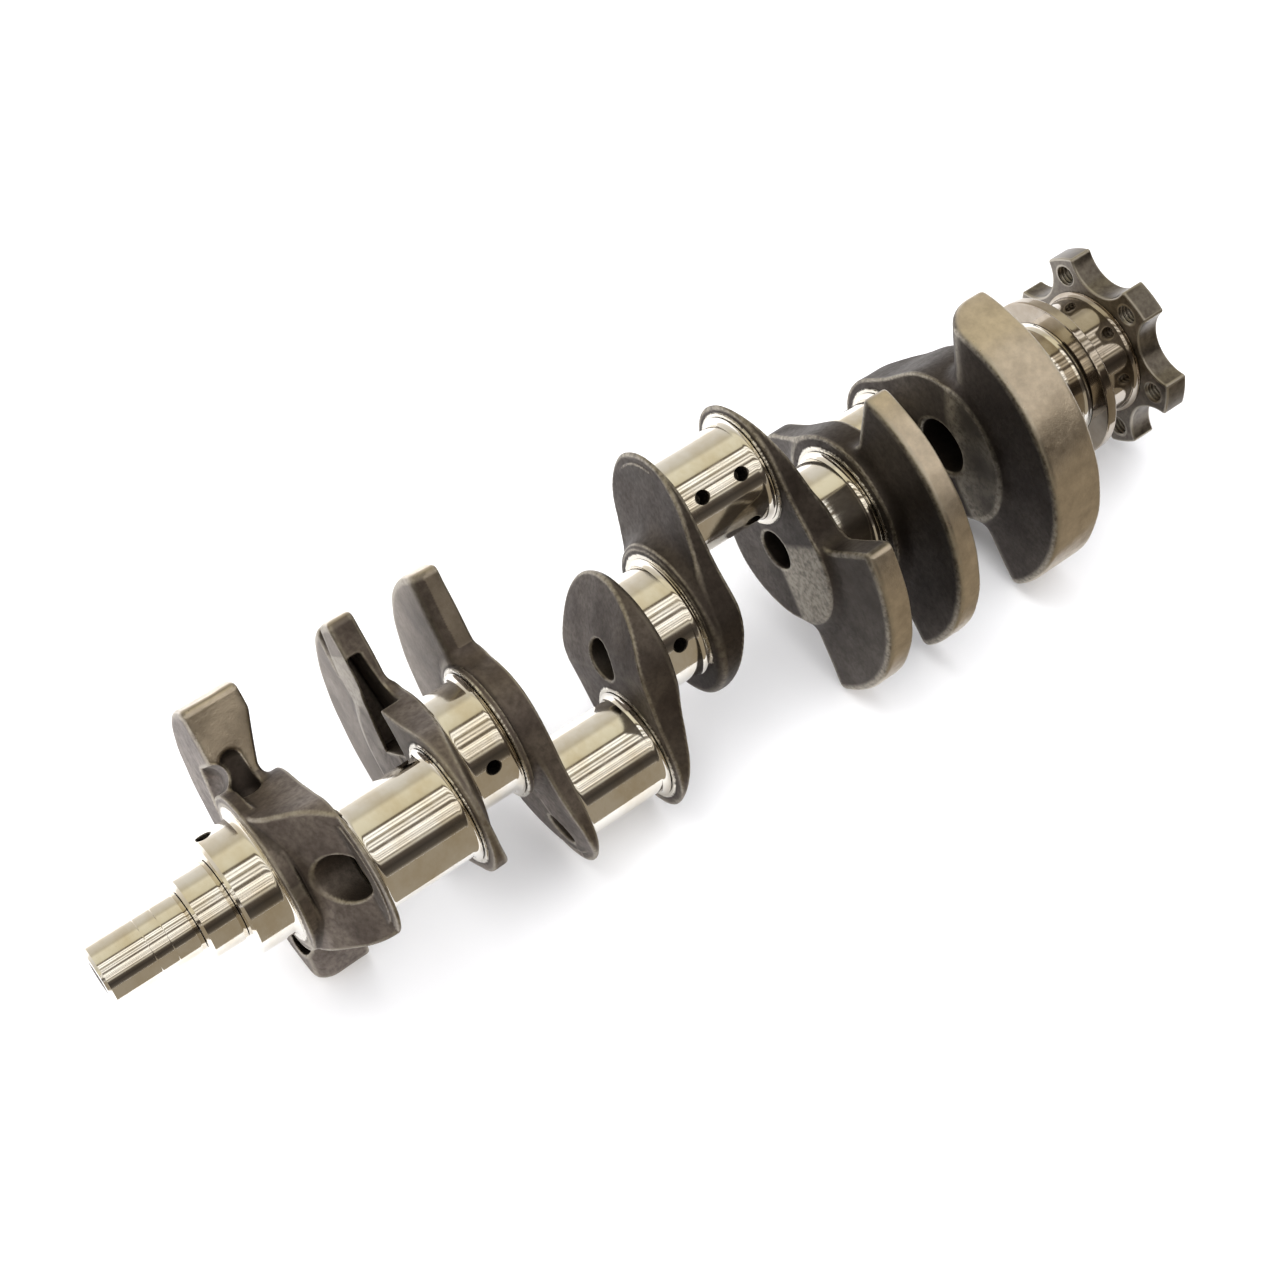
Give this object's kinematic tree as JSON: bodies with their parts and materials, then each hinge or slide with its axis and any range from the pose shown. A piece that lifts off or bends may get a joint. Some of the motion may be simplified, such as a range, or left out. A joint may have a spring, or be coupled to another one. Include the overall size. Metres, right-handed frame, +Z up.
{
  "type": "crankshaft",
  "caption": "One-piece forged steel crankshaft with ground journals, swept counterweights, a long front snout and a lobed rear flange.",
  "frame": {"origin": "middle of the bounding box in plan, at the height of the surface the shaft rests on", "axes": "+X along the shaft from the snout to the flange, +Z up as the shaft lies on its counterweights with the flange end slightly low"},
  "size_m": [0.63, 0.171, 0.1565],
  "materials": {
    "ground_steel": "ground and polished, with straight bright reflections",
    "forged_steel": "shot-peened forging, warm dark grey, satin",
    "machined_steel": "fine turned and milled faces with broken edges"
  },
  "bodies": {
    "root": {"snout": "ground_steel", "timing_gear_seat": "ground_steel", "main_journal_1": "ground_steel", "main_journal_2": "ground_steel", "main_journal_3": "ground_steel", "main_journal_4": "ground_steel", "main_journal_5": "ground_steel", "rod_journal_1": "ground_steel", "rod_journal_2": "ground_steel", "rod_journal_3": "ground_steel", "rod_journal_4": "ground_steel", "oil_slinger": "ground_steel", "rear_seal_journal": "ground_steel", "web_1": "forged_steel", "web_2": "forged_steel", "web_3": "forged_steel", "web_4": "forged_steel", "web_5": "forged_steel", "web_6": "forged_steel", "web_7": "forged_steel", "web_8": "forged_steel", "counterweight_1": "forged_steel", "counterweight_2": "forged_steel", "counterweight_3": "forged_steel", "counterweight_6": "forged_steel", "counterweight_7": "forged_steel", "counterweight_8": "forged_steel", "flywheel_flange": "machined_steel"}
  },
  "joints": []
}
